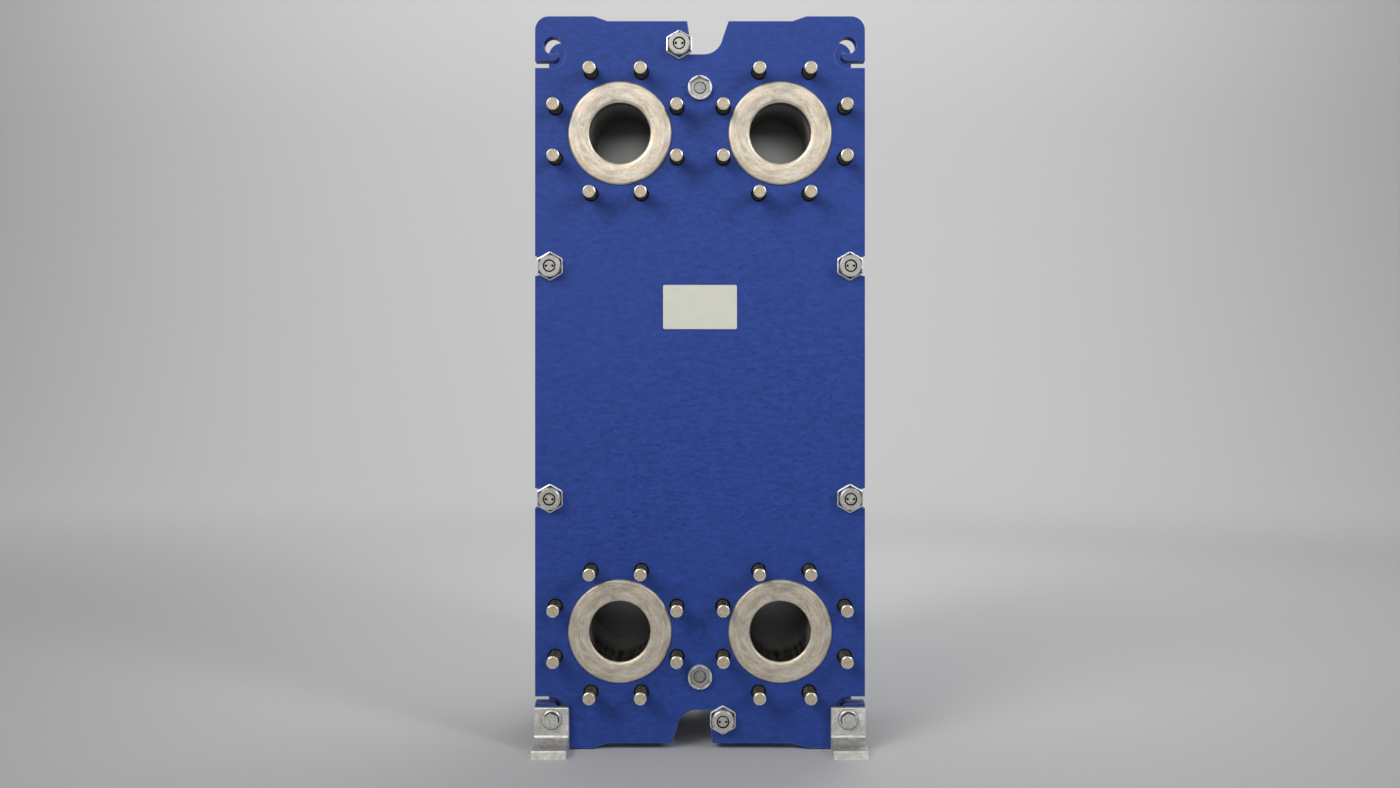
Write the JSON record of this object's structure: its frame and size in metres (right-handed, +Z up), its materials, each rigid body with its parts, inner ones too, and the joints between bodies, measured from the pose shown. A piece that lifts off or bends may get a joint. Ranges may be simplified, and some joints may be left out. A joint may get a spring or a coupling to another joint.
{
  "type": "gasketed plate heat exchanger",
  "caption": "Gasketed plate heat exchanger: a pack of channel plates clamped between a frame plate with studded ports and a pressure plate, on a carrying bar, column and feet.",
  "frame": {"origin": "floor level, centre of the footprint", "axes": "+X across the plates, -Y towards the connection side, +Y back to the support column, +Z up"},
  "size_m": [0.478, 0.7052, 1.062],
  "materials": {
    "frame_paint": "blue epoxy paint, satin, slightly mottled",
    "liner_metal": "turned and brushed titanium-toned metal, warm grey",
    "stud_zinc": "yellow passivated zinc on threaded steel",
    "nut_zinc": "bright zinc-plated steel",
    "galvanised": "hot-dip galvanised steel",
    "plate_steel": "pressed stainless sheet",
    "gasket_rubber": "black nitrile rubber, matt",
    "pad_bronze": "plain bearing bronze",
    "name_plate": "cream lacquered sheet, bare"
  },
  "bodies": {
    "root": {"frame_plate": "frame_paint", "pressure_plate": "frame_paint", "support_column": "frame_paint", "column_base": "frame_paint", "carrying_bar": "galvanised", "guide_bar": "galvanised", "channel_plates": "plate_steel", "end_plate": "plate_steel", "plate_gaskets": "gasket_rubber", "front_nuts": "nut_zinc", "rear_nuts": "nut_zinc", "rear_washers": "nut_zinc", "front_bar_nuts": "nut_zinc", "rear_bar_nuts": "nut_zinc", "slide_pad": "pad_bronze", "foot_left": "galvanised", "foot_right": "galvanised", "foot_bolts": "nut_zinc", "foot_washers": "nut_zinc", "foot_nuts": "nut_zinc", "name_plate": "name_plate", "port_liner_upper_left": "liner_metal", "port_studs_upper_left": "stud_zinc", "port_liner_upper_right": "liner_metal", "port_studs_upper_right": "stud_zinc", "port_liner_lower_left": "liner_metal", "port_studs_lower_left": "stud_zinc", "port_liner_lower_right": "liner_metal", "port_studs_lower_right": "stud_zinc", "tightening_bolt_top": "nut_zinc", "tightening_bolt_bottom": "nut_zinc", "tightening_bolt_left_upper": "nut_zinc", "tightening_bolt_left_lower": "nut_zinc", "tightening_bolt_right_upper": "nut_zinc", "tightening_bolt_right_lower": "nut_zinc"}
  },
  "joints": []
}
